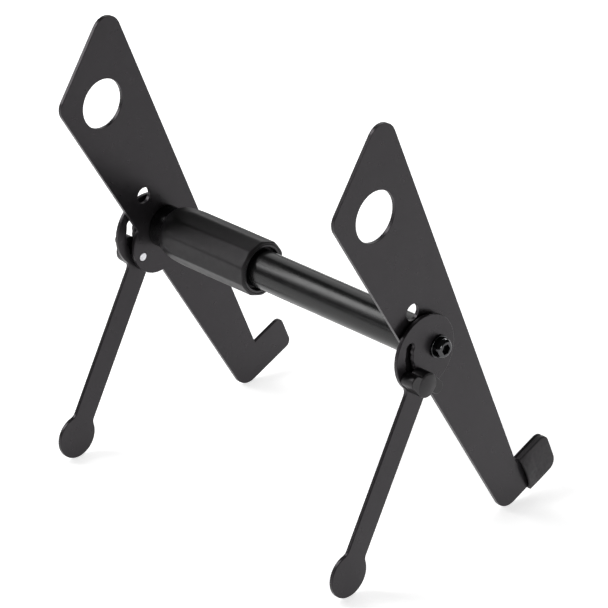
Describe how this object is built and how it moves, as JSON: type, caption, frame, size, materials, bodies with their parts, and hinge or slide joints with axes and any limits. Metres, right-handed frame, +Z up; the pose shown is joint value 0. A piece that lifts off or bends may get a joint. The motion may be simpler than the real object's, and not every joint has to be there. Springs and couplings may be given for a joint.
{
  "type": "desktop gear stand",
  "caption": "Folding desktop stand with two flat side plates, lips and swing-out legs, joined by a telescoping crossbar with a twist grip.",
  "frame": {"origin": "centre of the bounding box at the floor, midway between the two plates", "axes": "+X along the crossbar from the boot's side to the grip's side, -Y towards the user, +Z up"},
  "size_m": [0.2762, 0.208, 0.3055],
  "materials": {
    "powder_coat": "satin",
    "gloss_black": "gloss",
    "black_steel": "polished",
    "black_plastic": "satin",
    "zinc_steel": "satin",
    "rubber": "matte"
  },
  "bodies": {
    "right_side": {"right_side_plate": "powder_coat", "outer_tube": "gloss_black", "right_tube_plug": "zinc_steel", "clamp_collet": "black_plastic", "right_pivot_bolt": "black_steel", "right_bolt_washer": "black_steel", "right_leg_spacer": "powder_coat"},
    "twist_grip": {"twist_grip": "black_plastic", "grip_ring": "black_plastic"},
    "left_side": {"left_side_plate": "powder_coat", "inner_tube": "gloss_black", "guide_bush": "black_plastic", "left_tube_plug": "zinc_steel", "left_pivot_bolt": "black_steel", "left_bolt_washer": "black_steel", "left_leg_spacer": "powder_coat", "lip_boot": "rubber"},
    "left_leg": {"left_leg": "powder_coat"},
    "right_leg": {"right_leg": "powder_coat"},
    "left_knob": {"left_wing_knob": "black_plastic", "left_knob_stud": "zinc_steel"},
    "right_knob": {"right_wing_knob": "black_plastic", "right_knob_stud": "zinc_steel"}
  },
  "joints": [
    {"name": "crossbar_slide", "type": "slide", "parent": "right_side", "child": "left_side", "axis": [-1, 0, 0], "range_m": [-0.005, 0.04]},
    {"name": "grip_twist", "type": "hinge", "parent": "right_side", "child": "twist_grip", "pos_m": [0.067, 0.01085, 0.14512], "axis": [1, 0, 0], "range_deg": [0, 180]},
    {"name": "left_leg_fold", "type": "hinge", "parent": "left_side", "child": "left_leg", "pos_m": [-0.12615, 0.01085, 0.14512], "axis": [1, 0, 0], "range_deg": [-56, 0]},
    {"name": "right_leg_fold", "type": "hinge", "parent": "right_side", "child": "right_leg", "pos_m": [0.12615, 0.01085, 0.14512], "axis": [1, 0, 0], "range_deg": [-56, 0]},
    {"name": "left_knob_turn", "type": "hinge", "parent": "left_side", "child": "left_knob", "pos_m": [-0.1275, 0.03031, 0.12879], "axis": [-1, 0, 0], "range_deg": [0, 360]},
    {"name": "right_knob_turn", "type": "hinge", "parent": "right_side", "child": "right_knob", "pos_m": [0.1275, 0.03031, 0.12879], "axis": [1, 0, 0], "range_deg": [0, 360]}
  ]
}
